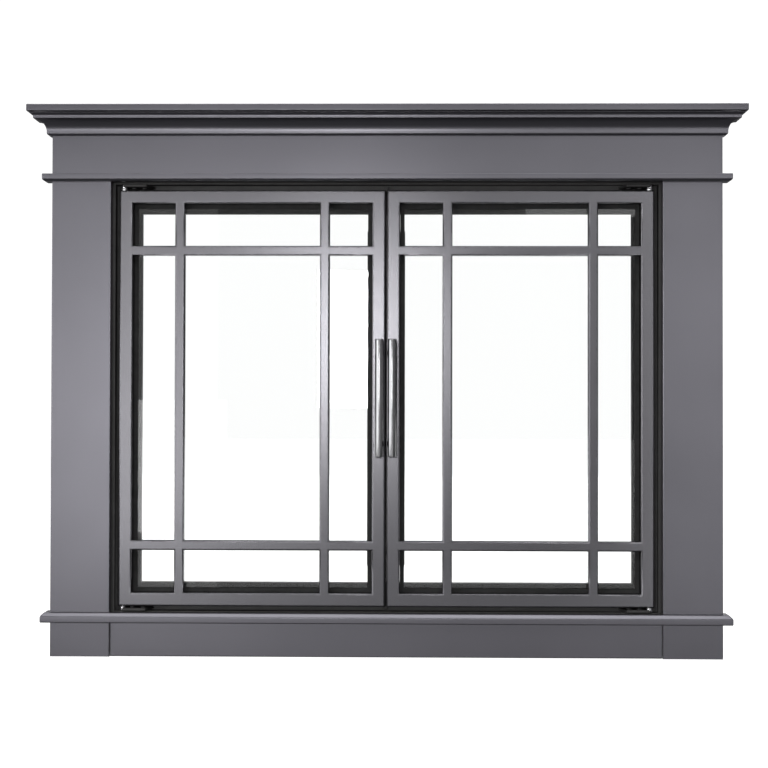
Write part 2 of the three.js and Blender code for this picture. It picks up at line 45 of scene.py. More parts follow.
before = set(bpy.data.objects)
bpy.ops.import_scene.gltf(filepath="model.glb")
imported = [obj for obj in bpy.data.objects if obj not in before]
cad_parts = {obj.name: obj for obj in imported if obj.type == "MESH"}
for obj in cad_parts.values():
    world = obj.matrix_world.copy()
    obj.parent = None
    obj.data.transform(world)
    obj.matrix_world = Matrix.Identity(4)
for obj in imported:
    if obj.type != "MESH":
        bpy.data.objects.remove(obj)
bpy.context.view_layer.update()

SURROUND = "surround"
DOORS = ("left_door", "right_door")
SIDES = ("left", "right")
LEVELS = ("upper", "lower")

MERGE_DISTANCE = 0.002 * MM
TINY = 1e-9
FLAT_ANGLE = math.radians(1)
EDGE_ANGLE = math.radians(35)
TURN_STEPS = 48  # faces round a turned piece
NARROW_SHARE = 0.3  # largest rounding as a share of the narrowest face beside the edge
PILASTER_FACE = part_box("pilaster_left")[0].y


# ---- Settings --------------------------------------------------------------------------------------------
def colour(name, description, default):
    return FloatVectorProperty(name=name, description=description, default=default, size=3, subtype="COLOR",
                               min=0.0, max=1.0)


def length(name, description, default_mm):
    return FloatProperty(name=name, description=description, default=default_mm * MM, min=0.0, unit="LENGTH",
                         subtype="DISTANCE", precision=5)


def share(name, description, default):
    return FloatProperty(name=name, description=description, default=default, min=0.0, max=1.0,
                         subtype="FACTOR")


class DoorFinishSettings(bpy.types.PropertyGroup):
    """Colours and gloss of the finishes."""

    gunmetal: colour("Gunmetal", "Powder coat of the surround", (0.118, 0.115, 0.130))
    # The doors' colour is the gunmetal made darker: painted shade, so the doors read darker than the
    # surround.
    door_gunmetal_shaded: colour("Door gunmetal", "Smoother coat of the doors", (0.112, 0.110, 0.119))
    gunmetal_flake: colour("Gunmetal flake", "Metal flake in the powder coat", (0.235, 0.232, 0.250))
    gunmetal_roughness: share("Gunmetal roughness", "Roughness of the powder coat", 0.28)
    door_roughness: share("Door roughness", "Roughness of the smoother coat on the doors", 0.24)
    # Frame shade: the frame unit and the parts in its recess get a near-black that paints the shade behind
    # the doors.
    dark_frame: colour("Dark frame", "Coat of the frame unit and the hidden brackets", (0.020, 0.019, 0.019))
    frame_shade_roughness: share("Dark frame roughness", "Roughness of the dark coat", 0.52)
    grain: share("Grain", "How strongly the powder coat's flake and orange peel show", 0.12)
    zinc: colour("Zinc", "Plated hinge barrels, pins and screws", (0.62, 0.62, 0.63))
    handle: colour("Handle", "Black nickel of the handles", (0.22, 0.22, 0.225))
    gasket: colour("Gasket", "Rubber round the panes", (0.010, 0.010, 0.010))
    glass: colour("Glass", "Tint of the panes", (0.98, 0.99, 0.985))


class DoorEdgeSettings(bpy.types.PropertyGroup):
    """Rounding of folds and cut edges."""

    bend_radius: length("Bend radius", "Outside radius of a fold, less than the sheet is thick", 1.4)
    bend_steps: IntProperty(name="Bend steps", description="Faces round a fold", default=4, min=1, max=12)
    tube_radius: length("Tube radius", "Corner radius of the door tube", 2.5)
    bar_radius: length("Bar radius", "Corner radius of the grid bars", 2.4)
    corner_steps: IntProperty(name="Corner steps", description="Faces round a tube corner", default=6, min=1,
                              max=16)


class DoorFastenerSettings(bpy.types.PropertyGroup):
    """Screws and bolts that show when the doors are open or from behind."""

    screw_radius: length("Screw radius", "Head radius of the small screws", 2.4)
    screw_height: length("Screw height", "Head height of the small screws", 1.3)
    strap_screw_radius: length("Strap screw radius", "Head radius of the hinge strap screws", 4.0)
    strap_screw_height: length("Strap screw height", "Head height of the hinge strap screws", 2.0)
    bolt_radius: length("Bolt radius", "Head radius of the bracket bolts", 5.2)
    bolt_height: length("Bolt height", "Head height of the bracket bolts", 2.4)
    turn_seed: IntProperty(name="Turn seed", description="Seed for how far each screw was turned", default=7)


class DoorStageSettings(bpy.types.PropertyGroup):
    """Camera, floor and lights."""

    camera_distance: length("Camera distance", "From the pilaster face to the camera", 2000)
    camera_height: length("Camera height", "Above the floor", 360.8)
    camera_side: length("Camera side", "How far the camera stands to the right", 27.3)
    aim_side: length("Aim side", "How far left of the middle the camera aims", 2.6)
    aim_rise: length("Aim rise", "How far above its own height the camera aims", 26.5)
    camera_roll: FloatProperty(name="Camera roll", description="Turn about the line of sight",
                               unit="ROTATION", default=math.radians(0.12))
    lens: FloatProperty(name="Lens", description="Focal length in millimetres", default=66.16)
    floor: colour("Floor", "Colour of the pale floor", (0.16, 0.16, 0.16))
    floor_glow: FloatProperty(name="Floor glow", description="Light of the floor itself", default=1.06)
    backdrop: FloatProperty(name="Backdrop", description="Brightness of the pale backdrop", default=1.08)
    room: colour("Room", "Dim room that the model mirrors", (0.10, 0.10, 0.105))


def settings(name):
    return getattr(bpy.context.scene, name)


# ---- Mesh helpers ----------------------------------------------------------------------------------------
def new_piece(name, mesh):
    piece = bpy.data.objects.new(name, mesh)
    bpy.context.scene.collection.objects.link(piece)
    return piece


def mesh_from(name, bm):
    bmesh.ops.recalc_face_normals(bm, faces=bm.faces)
    mesh = bpy.data.meshes.new(name)
    bm.to_mesh(mesh)
    bm.free()
    return mesh


def creased_piece(name, bm):
    """A piece that is smooth but for its sharp edges."""
    mesh = mesh_from(name, bm)
    mesh.shade_smooth()
    mesh.set_sharp_from_angle(angle=EDGE_ANGLE)
    return new_piece(name, mesh)


def merge_flat(bm):
    """Merges corners that coincide and faces that share a plane."""
    bmesh.ops.remove_doubles(bm, verts=bm.verts, dist=MERGE_DISTANCE)
    bmesh.ops.dissolve_limit(bm, angle_limit=FLAT_ANGLE, verts=bm.verts, edges=bm.edges,
                             use_dissolve_boundaries=False)


def flat_copy(node):
    """A copy of a model node with its loose triangles merged into flat faces."""
    bm = bmesh.new()
    bm.from_mesh(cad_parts[node].data)
    merge_flat(bm)
    return bm


def width_from_edge(face, edge):
    """Distance across a face from the middle of one of its edges."""
    a, b = (vert.co for vert in edge.verts)
    middle = (a + b) / 2
    along = (b - a).normalized()
    inward = face.normal.cross(along)
    if inward.dot(face.calc_center_median() - middle) < 0:
        inward = -inward
    nearest = edge.calc_length() + math.sqrt(face.calc_area())
    for other in face.edges:
        if other is edge:
            continue
        p, q = (vert.co - middle for vert in other.verts)
        p_side, q_side = p.dot(along), q.dot(along)
        if p_side * q_side > 0 or abs(p_side - q_side) < TINY:
            continue
        reach = (p + (q - p) * (p_side / (p_side - q_side))).dot(inward)
        if reach > MERGE_DISTANCE:
            nearest = min(nearest, reach)
    return nearest


def rounded_piece(name, bm, largest, steps):
    """A piece whose sharp outside edges are rounded, each as far as the faces beside it have room for."""
    bm.edges.index_update()
    weights = {}
    for edge in bm.edges:
        if len(edge.link_faces) != 2 or edge.calc_face_angle(0.0) < EDGE_ANGLE or not edge.is_convex:
            continue
        room = min(width_from_edge(face, edge) for face in edge.link_faces)
        weights[edge.index] = min(largest, NARROW_SHARE * room) / largest
    mesh = bpy.data.meshes.new(name)
    bm.to_mesh(mesh)
    bm.free()
    layer = mesh.attributes.new("bevel_weight_edge", "FLOAT", "EDGE")
    for index, weight in weights.items():
        layer.data[index].value = weight
    piece = new_piece(name, mesh)
    bevel = piece.modifiers.new("Folds", "BEVEL")
    bevel.limit_method = "WEIGHT"
    bevel.width = largest
    bevel.segments = steps
    bevel.use_clamp_overlap = False
    smooth(piece)
    return piece


def smooth(piece):
    """Smooth shading whose flat faces stay flat."""
    piece.data.shade_smooth()
    normals = piece.modifiers.new("Flat faces", "WEIGHTED_NORMAL")
    normals.mode = "FACE_AREA"
    normals.weight = 100
    normals.keep_sharp = True


def stand_for(piece, slot, body, *nodes, finish=None):
    """Dresses a finished piece, sets it on its body and lets it stand for its model nodes."""
    piece.data.materials.clear()
    piece.data.materials.append(material(finish or slot))
    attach(piece, body)
    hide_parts(*nodes)


def folded_piece(node, slot, body=SURROUND, largest=None):
    """A sheet or plate piece: the model node with its folds and cut edges rounded."""
    edges = settings("door_edges")
    largest = largest or edges.bend_radius
    piece = rounded_piece(f"{node}_finished", flat_copy(node), largest, edges.bend_steps)
    stand_for(piece, slot, body, node)


def arc(centre, radius, start, end, steps):
    """Points round part of a circle, angles in degrees; radius may be a pair for an ellipse."""
    rx, ry = radius if isinstance(radius, tuple) else (radius, radius)
    angles = [math.radians(start + (end - start) * i / steps) for i in range(steps + 1)]
    return [Vector((centre[0] + rx * math.cos(a), centre[1] + ry * math.sin(a))) for a in angles]


def without_doubles(points):
    return [p for i, p in enumerate(points) if i == 0 or (p - points[i - 1]).length > MERGE_DISTANCE]


def folded_outline(line, thickness):
    """Closed outline of a folded strip: the line, and the same line moved to its left by the thickness."""
    inner = []
    for i, point in enumerate(line):
        normals = []
        for a, b in ((i - 1, i), (i, i + 1)):
            if 0 <= a and b < len(line):
                along = (line[b] - line[a]).normalized()
                normals.append(Vector((-along.y, along.x)))
        total = sum(normals, Vector((0, 0)))
        inner.append(point + total * (thickness * len(normals) / total.length_squared))
    return line + inner[::-1]


def rounded_rectangle(x0, x1, y0, y1, radius, steps):
    """Outline of a rectangle with round corners, without the last point of its last corner."""
    corners = ((x1, y1, -1, -1, 0), (x0, y1, 1, -1, 90), (x0, y0, 1, 1, 180), (x1, y0, -1, 1, 270))
    points = []
    for x, y, inward_x, inward_y, start in corners:
        points += arc((x + inward_x * radius, y + inward_y * radius), radius, start, start + 90, steps)
    return without_doubles(points)[:-1]


def loft(bm, rings, closed=False):
    """Skins a row of rings of points; an open row gets its two end caps."""
    loops = [[bm.verts.new(point) for point in ring] for ring in rings]
    pairs = list(zip(loops, loops[1:]))
    if closed:
        pairs.append((loops[-1], loops[0]))
    for first, second in pairs:
        count = len(first)
        for i in range(count):
            j = (i + 1) % count
            bm.faces.new((first[i], first[j], second[j], second[i]))
    if not closed:
        bm.faces.new(loops[0])
        bm.faces.new(loops[-1])


def turned(bm, profile, axis_x, axis_y):
    """Turns a profile of (radius, height) round an upright axis; its ends meet, or both lie on the axis."""
    closed = (profile[0] - profile[-1]).length < MERGE_DISTANCE
    outline = profile[:-1] if closed else profile
    columns = []
    for s in range(TURN_STEPS):
        angle = 2 * math.pi * s / TURN_STEPS
        columns.append([bm.verts.new((axis_x + p.x * math.cos(angle), axis_y + p.x * math.sin(angle), p.y))
                        for p in outline])
    count = len(outline)
    for first, second in zip(columns, columns[1:] + columns[:1]):
        for i in range(count if closed else count - 1):
            j = (i + 1) % count
            bm.faces.new((first[i], second[i], second[j], first[j]))
    bmesh.ops.remove_doubles(bm, verts=bm.verts, dist=MERGE_DISTANCE)
    bmesh.ops.dissolve_degenerate(bm, edges=bm.edges, dist=MERGE_DISTANCE)


def centre_of(node):
    low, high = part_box(node)
    return (low + high) / 2


# ---- Materials -------------------------------------------------------------------------------------------
class Finish:
    """A node material with short calls for the patterns that the finishes share."""

    def __init__(self, name):
        self.material = bpy.data.materials.new(name)
        self.material.use_nodes = True
        self.tree = self.material.node_tree
        self.shader = self.tree.nodes["Principled BSDF"]
        self.place = self.node("ShaderNodeTexCoord").outputs["Object"]

    def node(self, kind, **values):
        node = self.tree.nodes.new(kind)
        for name, value in values.items():
            setattr(node, name, value)
        return node

    def link(self, output, target):
        self.tree.links.new(output, target)

    def set(self, **values):
        for name, value in values.items():
            self.shader.inputs[name.replace("_", " ")].default_value = value

    def noise(self, scale, detail=3.0, roughness=0.5, stretch=(1, 1, 1)):
        mapping = self.node("ShaderNodeMapping")
        mapping.inputs["Scale"].default_value = stretch
        self.link(self.place, mapping.inputs["Vector"])
        noise = self.node("ShaderNodeTexNoise")
        noise.inputs["Scale"].default_value = scale
        noise.inputs["Detail"].default_value = detail
        noise.inputs["Roughness"].default_value = roughness
        self.link(mapping.outputs["Vector"], noise.inputs["Vector"])
        return noise.outputs["Fac"]

    def flakes(self, scale):
        cells = self.node("ShaderNodeTexVoronoi")
        cells.inputs["Scale"].default_value = scale
        self.link(self.place, cells.inputs["Vector"])
        return cells.outputs["Color"]

    def ranged(self, value, low, high, from_low=0.3, from_high=0.7):
        ramp = self.node("ShaderNodeMapRange")
        ramp.inputs["From Min"].default_value = from_low
        ramp.inputs["From Max"].default_value = from_high
        ramp.inputs["To Min"].default_value = low
        ramp.inputs["To Max"].default_value = high
        self.link(value, ramp.inputs["Value"])
        return ramp.outputs["Result"]

    def mixed(self, factor, first, second):
        """Mixes a socket or a plain colour with a plain colour."""
        mix = self.node("ShaderNodeMix", data_type="RGBA")
        self.link(factor, mix.inputs["Factor"])
        for socket, value in zip(("A", "B"), (first, second)):
            target = next(s for s in mix.inputs if s.name == socket and s.type == "RGBA")
            if isinstance(value, bpy.types.NodeSocket):
                self.link(value, target)
            else:
                target.default_value = (*value, 1.0)
        return next(s for s in mix.outputs if s.type == "RGBA")

    def clouded(self, base, scale, detail, darkest, lightest):
        """The base colour, drifting between two shades of itself."""
        drift = self.ranged(self.noise(scale, detail), 0.0, 1.0)
        return self.mixed(drift, shaded(base, darkest), shaded(base, lightest))

    def relief(self, height, distance):
        bump = self.node("ShaderNodeBump")
        bump.inputs["Distance"].default_value = distance
        self.link(height, bump.inputs["Height"])
        self.link(bump.outputs["Normal"], self.shader.inputs["Normal"])

    def colour(self, output):
        self.link(output, self.shader.inputs["Base Color"])

    def roughness(self, output):
        self.link(output, self.shader.inputs["Roughness"])


def shaded(rgb, factor):
    return tuple(min(1.0, channel * factor) for channel in rgb)


def gunmetal_coat(name, base, roughness, metal):
    """Satin powder coat with a little metal flake and a faint orange-peel surface."""
    look = settings("door_finish")
    sheen = 0.03 * look.grain
    finish = Finish(name)
    finish.set(Metallic=metal, IOR=1.5, Coat_Weight=0.05, Coat_Roughness=0.22)
    cloud = finish.clouded(base, scale=5.5, detail=2.0, darkest=0.94, lightest=1.06)
    speck = finish.ranged(finish.flakes(scale=2600), 0.0, 0.55 * look.grain, from_low=0.55, from_high=1.0)
    finish.colour(finish.mixed(speck, cloud, tuple(look.gunmetal_flake)))
    finish.roughness(finish.ranged(finish.noise(scale=60, detail=4.0), roughness - sheen, roughness + sheen))
    finish.relief(finish.noise(scale=620, detail=2.0, roughness=0.55), 0.012 * MM * look.grain)
    return finish.material


def gunmetal_paint():
    """The surround's coat."""
    look = settings("door_finish")
    return gunmetal_coat("gunmetal_paint", tuple(look.gunmetal), look.gunmetal_roughness, metal=0.8)


def door_paint():
    """The doors' coat, smoother than the surround's; its colour, darker than the surround's, is painted
    shade.
    """
    look = settings("door_finish")
    return gunmetal_coat("door_paint", tuple(look.door_gunmetal_shaded), look.door_roughness, metal=0.9)


def frame_shade_paint():
    """Matt near-black with a slight grain; the near-black is painted shade of the recess behind the doors.
    """
    look = settings("door_finish")
    finish = Finish("frame_shade_paint")
    finish.set(Metallic=0.1, IOR=1.5)
    finish.colour(finish.clouded(tuple(look.dark_frame), scale=9, detail=3.0, darkest=0.85, lightest=1.2))
    finish.roughness(finish.ranged(finish.noise(scale=80), look.frame_shade_roughness - 0.05,
                                   look.frame_shade_roughness + 0.06))
    finish.relief(finish.noise(scale=900, roughness=0.6), 0.02 * MM)
    return finish.material


def zinc_steel():
    """Bright zinc plate with fine turning marks."""
    base = tuple(settings("door_finish").zinc)
    finish = Finish("zinc_steel")
    finish.set(Metallic=1.0, Anisotropic=0.25)
    marks = finish.noise(scale=900, detail=2.0, roughness=0.6, stretch=(0.25, 0.25, 3.0))
    finish.colour(finish.clouded(base, scale=140, detail=3.0, darkest=0.82, lightest=1.1))
    finish.roughness(finish.ranged(marks, 0.2, 0.34))
    finish.relief(marks, 0.006 * MM)
    return finish.material


def black_handle():
    """Black nickel plate, very slightly brushed along the bar."""
    base = tuple(settings("door_finish").handle)
    finish = Finish("black_handle")
    finish.set(Metallic=1.0, IOR=1.6)
    marks = finish.noise(scale=900, roughness=0.6, stretch=(1, 1, 0.04))
    finish.colour(finish.clouded(base, scale=30, detail=2.0, darkest=0.92, lightest=1.08))
    finish.roughness(finish.ranged(marks, 0.10, 0.13))
    finish.relief(marks, 0.0005 * MM)
    return finish.material


def gasket_rubber():
    """Dull black rubber."""
    base = tuple(settings("door_finish").gasket)
    finish = Finish("gasket_rubber")
    finish.set(IOR=1.45)
    finish.colour(finish.clouded(base, scale=40, detail=3.0, darkest=0.8, lightest=1.5))
    finish.roughness(finish.ranged(finish.noise(scale=200), 0.72, 0.88))
    finish.relief(finish.noise(scale=1500, detail=2.0), 0.02 * MM)
    return finish.material


def clear_glass():
    """Tempered pane with a slight tint."""
    base = tuple(settings("door_finish").glass)
    finish = Finish("clear_glass")
    finish.set(Transmission_Weight=1.0, IOR=1.46, Roughness=0.0, Specular_IOR_Level=0.3)
    finish.colour(finish.clouded(base, scale=1.5, detail=1.0, darkest=0.98, lightest=1.0))
    return finish.material


def painted_floor():
    """Plain pale studio floor."""
    stage = settings("door_stage")
    finish = Finish("painted_floor")
    finish.set(Emission_Color=(1, 1, 1, 1), Emission_Strength=stage.floor_glow)
    finish.colour(finish.clouded(tuple(stage.floor), scale=2.0, detail=3.0, darkest=0.98, lightest=1.0))
    finish.roughness(finish.ranged(finish.noise(scale=12), 0.55, 0.65))
    return finish.material


MAKERS = {
    "gunmetal": gunmetal_paint,
    "door": door_paint,
    "dark_frame": frame_shade_paint,
    "zinc": zinc_steel,
    "handle": black_handle,
    "gasket": gasket_rubber,
    "glass": clear_glass,
    "floor": painted_floor,
}
_made = {}


def material(key):
    if key not in _made:
        _made[key] = MAKERS[key]()
    return _made[key]


# ---- Surround --------------------------------------------------------------------------------------------
SHEET = 1.5 * MM  # thickness of the folded steel
SEAT = 0.2 * MM  # gap between parts that lie on each other

# Heights and projections of the crown's curves.
CROWN_BEAD_PROJECTION = 6.5 * MM
CROWN_BEAD_RADIUS = 3.5 * MM
CROWN_BEAD_HEIGHT = 5 * MM
CROWN_COVE_HEIGHT = 16.5 * MM
CROWN_COVE_REACH = 21.3 * MM
CROWN_STEP_REACH = 22.1 * MM
CROWN_SMALL_COVE = 4.2 * MM
CROWN_STEPS = 14  # on the cove; half as many on the bead and the small cove
CROWN_EDGE = 0.35 * MM
CROWN_EDGE_STEPS = 2


def crown_line(bottom, top):
    """The crown's outer line from its lower edge up to the cap: bead, cove, step and small cove."""
    bead_x = CROWN_BEAD_PROJECTION - CROWN_BEAD_RADIUS
    cove_bottom = bottom + CROWN_BEAD_HEIGHT
    cove_top = cove_bottom + CROWN_COVE_HEIGHT
    tip = top - SHEET - CROWN_SMALL_COVE
    bead = arc((bead_x, bottom + CROWN_BEAD_RADIUS), CROWN_BEAD_RADIUS, -90, 0, CROWN_STEPS // 2)
    cove_radii = (CROWN_COVE_REACH - CROWN_BEAD_PROJECTION, CROWN_COVE_HEIGHT)
    cove = arc((CROWN_COVE_REACH, cove_bottom), cove_radii, 180, 90, CROWN_STEPS)
    small = arc((CROWN_STEP_REACH + CROWN_SMALL_COVE, tip), CROWN_SMALL_COVE, 180, 90, CROWN_STEPS // 2)
    step = Vector((CROWN_STEP_REACH, cove_top))
    return without_doubles([Vector((SEAT, bottom)), *bead, *cove, step, *small])


def crown_moulding():
    """The mitred crown, swept round the left side, the front and the right side."""
    low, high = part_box("crown_moulding")
    body_low, body_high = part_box("header_panel")
    outline = folded_outline(crown_line(low.z, high.z), SHEET)
    rings = []
    for side, rear in ((-1, True), (-1, False), (1, False), (1, True)):
        edge = body_high.x if side > 0 else body_low.x
        rings.append([(edge + side * p.x, high.y if rear else PILASTER_FACE - p.x, p.y) for p in outline])
    bm = bmesh.new()
    loft(bm, rings)
    bmesh.ops.recalc_face_normals(bm, faces=bm.faces)
    piece = rounded_piece("crown_moulding_finished", bm, CROWN_EDGE, CROWN_EDGE_STEPS)
    weights, points = piece.data.attributes["bevel_weight_edge"].data, piece.data.vertices
    for edge in piece.data.edges:
        if all(points[i].co.y > high.y - MERGE_DISTANCE for i in edge.vertices):
            weights[edge.index].value = 0  # the cut rear ends stay sharp
    stand_for(piece, "gunmetal", SURROUND, "crown_moulding")


class DOOR_OT_surround(bpy.types.Operator):
    """Make the folded steel surround: cap, crown, header, bands, pilasters and plinth"""

    bl_idname = "fireplace_door.surround"
    bl_label = "Surround"

    def execute(self, context):
        crown_moulding()
        for node in ("mantel_cap", "header_panel", "neck_band", "base_band", "pilaster_left",
                     "pilaster_right", "plinth_panel"):
            folded_piece(node, "gunmetal")
        return {"FINISHED"}


HEM_WIDTH = 12 * MM
REAR_LIP = 11 * MM


def frame_ring():
    """The frame unit's four folded rails, mitred and welded into one closed ring."""
    sill_low, sill_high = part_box("sill_rail")
    head_low, head_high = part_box("head_rail")
    jamb_low, jamb_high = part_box("jamb_right")
    hem = HEM_WIDTH + SHEET
    half, top, bottom = jamb_high.x - hem, head_high.z - hem, sill_low.z + hem
    side, over, under = half - jamb_low.x, top - head_low.z, sill_high.z - bottom
    front, rear = jamb_low.y, jamb_high.y
    flange = rear - REAR_LIP
    line = [(hem, front), (0, front), (0, flange), (-side, flange), (-side, rear)]
    section = folded_outline([Vector(point) for point in line], -SHEET)
    corners = ((-1, bottom, -1, under), (1, bottom, -1, under), (1, top, 1, over), (-1, top, 1, over))
    rings = []
    for right, z, up, width in corners:
        reaches = [p.x if p.x > 0 else p.x * width / side for p in section]
        rings.append([(right * (half + p.x), p.y, z + up * reach) for p, reach in zip(section, reaches)])
    bm = bmesh.new()
    loft(bm, rings, closed=True)
    bmesh.ops.recalc_face_normals(bm, faces=bm.faces)
    edges = settings("door_edges")
    piece = rounded_piece("frame_ring", bm, edges.bend_radius, edges.bend_steps)
    stand_for(piece, "dark_frame", SURROUND, "head_rail", "sill_rail", "jamb_left", "jamb_right")


class DOOR_OT_frame_unit(bpy.types.Operator):
    """Make the frame unit, near-black as painted shade, with its hinge straps, catches and mounting brackets
    """

    bl_idname = "fireplace_door.frame_unit"
    bl_label = "Frame Unit"

    def execute(self, context):
        frame_ring()
        nodes = [f"magnetic_catch_{level}" for level in LEVELS]
        nodes += [f"hinge_strap_{level}_{side}" for level in LEVELS for side in SIDES]
        nodes += [f"{kind}_bracket_{side}" for kind in ("lintel", "floor") for side in SIDES]
        for node in nodes:
            folded_piece(node, "dark_frame")
        return {"FINISHED"}


# ---- Doors -----------------------------------------------------------------------------------------------
BAR_SINK = 3 * MM  # how far a bar's end reaches into the tube that it is welded to


def tube_ring(door):
    """The mitred outer frame of a door as one closed ring of rounded tube."""
    edges = settings("door_edges")
    stile_low, stile_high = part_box(f"{door}_hinge_stile")
    low = Vector(map(min, stile_low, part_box(f"{door}_meeting_stile")[0]))
    high = Vector(map(max, stile_high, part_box(f"{door}_meeting_stile")[1]))
    tube = stile_high.x - stile_low.x
    section = rounded_rectangle(0, tube, stile_low.y, stile_high.y, edges.tube_radius, edges.corner_steps)
    corners = ((low.x, 1, low.z, 1), (high.x, -1, low.z, 1), (high.x, -1, high.z, -1),
               (low.x, 1, high.z, -1))
    rings = [[(x + sx * p.x, p.y, z + sz * p.x) for p in section] for x, sx, z, sz in corners]
    bm = bmesh.new()
    loft(bm, rings, closed=True)
    return mesh_from(f"{door}_tube_ring", bm)


def grid_bar(node, upright):
    """One grid bar as a solid, run into the frame at both ends."""
    edges = settings("door_edges")
    low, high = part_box(node)
    across = 0 if upright else 2
    section = rounded_rectangle(low[across], high[across], low.y, high.y, edges.bar_radius,
                                edges.corner_steps)
    run = 2 if upright else 0
    ends = (low[run] - BAR_SINK, high[run] + BAR_SINK)
    rings = [[(p.x, p.y, t) if upright else (t, p.y, p.x) for p in section] for t in ends]
    bm = bmesh.new()
    loft(bm, rings)
    return mesh_from(node, bm)


def joined(base, tools):
    """Joins solids with exact booleans and returns the plain mesh."""
    for tool in tools:
        union = base.modifiers.new("Weld", "BOOLEAN")
        union.operation = "UNION"
        union.solver = "EXACT"
        union.object = tool
    bpy.context.view_layer.update()
    mesh = bpy.data.meshes.new_from_object(base.evaluated_get(bpy.context.evaluated_depsgraph_get()))
    for spare in (base, *tools):
        bpy.data.objects.remove(spare)
    return mesh


def welded_door(door):
    """Door tubes and grid bars, welded, ground flush and painted as one."""
    bars = [(f"{door}_muntin_upright_{place}", True) for place in ("outer", "inner")]
    bars += [(f"{door}_muntin_cross_{level}", False) for level in LEVELS]
    ring = new_piece("ring", tube_ring(door))
    tools = [new_piece(node, grid_bar(node, upright)) for node, upright in bars]
    mesh = joined(ring, tools)
    bm = bmesh.new()
    bm.from_mesh(mesh)
    merge_flat(bm)
    bm.to_mesh(mesh)
    bm.free()
    piece = new_piece(f"{door}_welded_frame", mesh)
    mesh.set_sharp_from_angle(angle=EDGE_ANGLE)
    smooth(piece)
    tubes = [f"{door}_{part}" for part in ("hinge_stile", "meeting_stile", "top_rail", "bottom_rail")]
    stand_for(piece, "gunmetal", door, *tubes, *(node for node, _ in bars), finish="door")


class DOOR_OT_doors(bpy.types.Operator):
    """Make the welded frame and grid of each door"""

    bl_idname = "fireplace_door.doors"
    bl_label = "Door Frames"

    def execute(self, context):
        for door in DOORS:
            welded_door(door)
        return {"FINISHED"}


PANE_EDGE = 0.5 * MM
GASKET_EDGE = 0.4 * MM
RETAINER_EDGE = 0.4 * MM
# The strip between the doors is black rubber put where the gap shows shade: painted shade.
SHADE_STRIP_DEPTH = 5 * MM
SHADE_STRIP_SINK = 0.3 * MM  # into the left door's stile
SHADE_STRIP_CLEAR = 0.15 * MM  # to the right door's stile
SHADE_STRIP_END = 1 * MM  # short of the door at its top and bottom
SHADE_STRIP_EDGE = 0.5 * MM
SHADE_STRIP_STEPS = 3


def meeting_gap_shade_strip():
    """Soft black strip on the left door's meeting stile that closes the gap between the doors; it stands in
    for the shade in that gap.
    """
    low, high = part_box("left_door_meeting_stile")
    left, right = high.x - SHADE_STRIP_SINK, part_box("right_door_meeting_stile")[0].x - SHADE_STRIP_CLEAR
    front = (low.y + high.y - SHADE_STRIP_DEPTH) / 2
    section = rounded_rectangle(left, right, front, front + SHADE_STRIP_DEPTH, SHADE_STRIP_EDGE, SHADE_STRIP_STEPS)
    bm = bmesh.new()
    loft(bm, [[(p.x, p.y, z) for p in section] for z in (low.z + SHADE_STRIP_END, high.z - SHADE_STRIP_END)])
    piece = creased_piece("left_door_meeting_seal", bm)
    piece.data.materials.append(material("gasket"))
    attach(piece, "left_door")


class DOOR_OT_glazing(bpy.types.Operator):
    """Make the panes, their gaskets, the strips that hold them and the black strip that stands in for the
    shade between the doors
    """

    bl_idname = "fireplace_door.glazing"
    bl_label = "Glazing"

    def execute(self, context):
        for door in DOORS:
            folded_piece(f"{door}_glass", "glass", door, PANE_EDGE)
            folded_piece(f"{door}_glass_gasket", "gasket", door, GASKET_EDGE)
            for place in ("outer", "inner"):
                # The retainers take the frame unit's near-black, painted shade.
                folded_piece(f"{door}_glass_retainer_{place}", "dark_frame", door, RETAINER_EDGE)
        meeting_gap_shade_strip()
        return {"FINISHED"}


# ---- Handles and hinges ----------------------------------------------------------------------------------
HANDLE_EDGE = 1.5 * MM
HANDLE_STEPS = 8  # on each rounding of a handle
POST_RADIUS = 4 * MM
POST_FLARE = 2 * MM
POST_RIM = 0.4 * MM  # chamfer round a post's foot


def round_piece(node, slot, body, profile):
    """A turned piece about the node's own upright axis."""
    middle = centre_of(node)
    bm = bmesh.new()
    turned(bm, profile, middle.x, middle.y)
    stand_for(creased_piece(f"{node}_finished", bm), slot, body, node)


def rounded_ends(radius, bottom, top, edge, steps):
    """Profile points up the side of a round bar whose two rims are rounded."""
    return (arc((radius - edge, bottom + edge), edge, -90, 0, steps)
            + arc((radius - edge, top - edge), edge, 0, 90, steps))


def handle_bar(door):
    """Straight round bar with softened ends."""
    node = f"{door}_handle_bar"
    low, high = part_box(node)
    side = rounded_ends((high.x - low.x) / 2, low.z, high.z, HANDLE_EDGE, HANDLE_STEPS)
    round_piece(node, "handle", door, [Vector((0, low.z)), *side, Vector((0, high.z))])


def handle_post(door, level):
    """Round post between the stile and the bar: a flared foot and a straight stem that ends in the bar."""
    node = f"{door}_handle_post_{level}"
    low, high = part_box(node)
    foot = (high.x - low.x) / 2
    depth = high.y - low.y + POST_RADIUS / 2
    profile = [Vector((0, 0)), Vector((foot - POST_RIM, 0)), Vector((foot, POST_RIM)),
               Vector((foot, POST_FLARE))]
    profile += arc((foot, 2 * POST_FLARE), (foot - POST_RADIUS, POST_FLARE), -90, -180, HANDLE_STEPS)
    profile += [Vector((POST_RADIUS, depth)), Vector((0, depth))]
    bm = bmesh.new()
    turned(bm, without_doubles(profile), 0, 0)
    middle = centre_of(node)
    bmesh.ops.transform(bm, matrix=Matrix.Translation((middle.x, high.y, middle.z))
                        @ Matrix.Rotation(math.radians(90), 4, "X"), verts=bm.verts)
    stand_for(creased_piece(f"{node}_finished", bm), "handle", door, node)


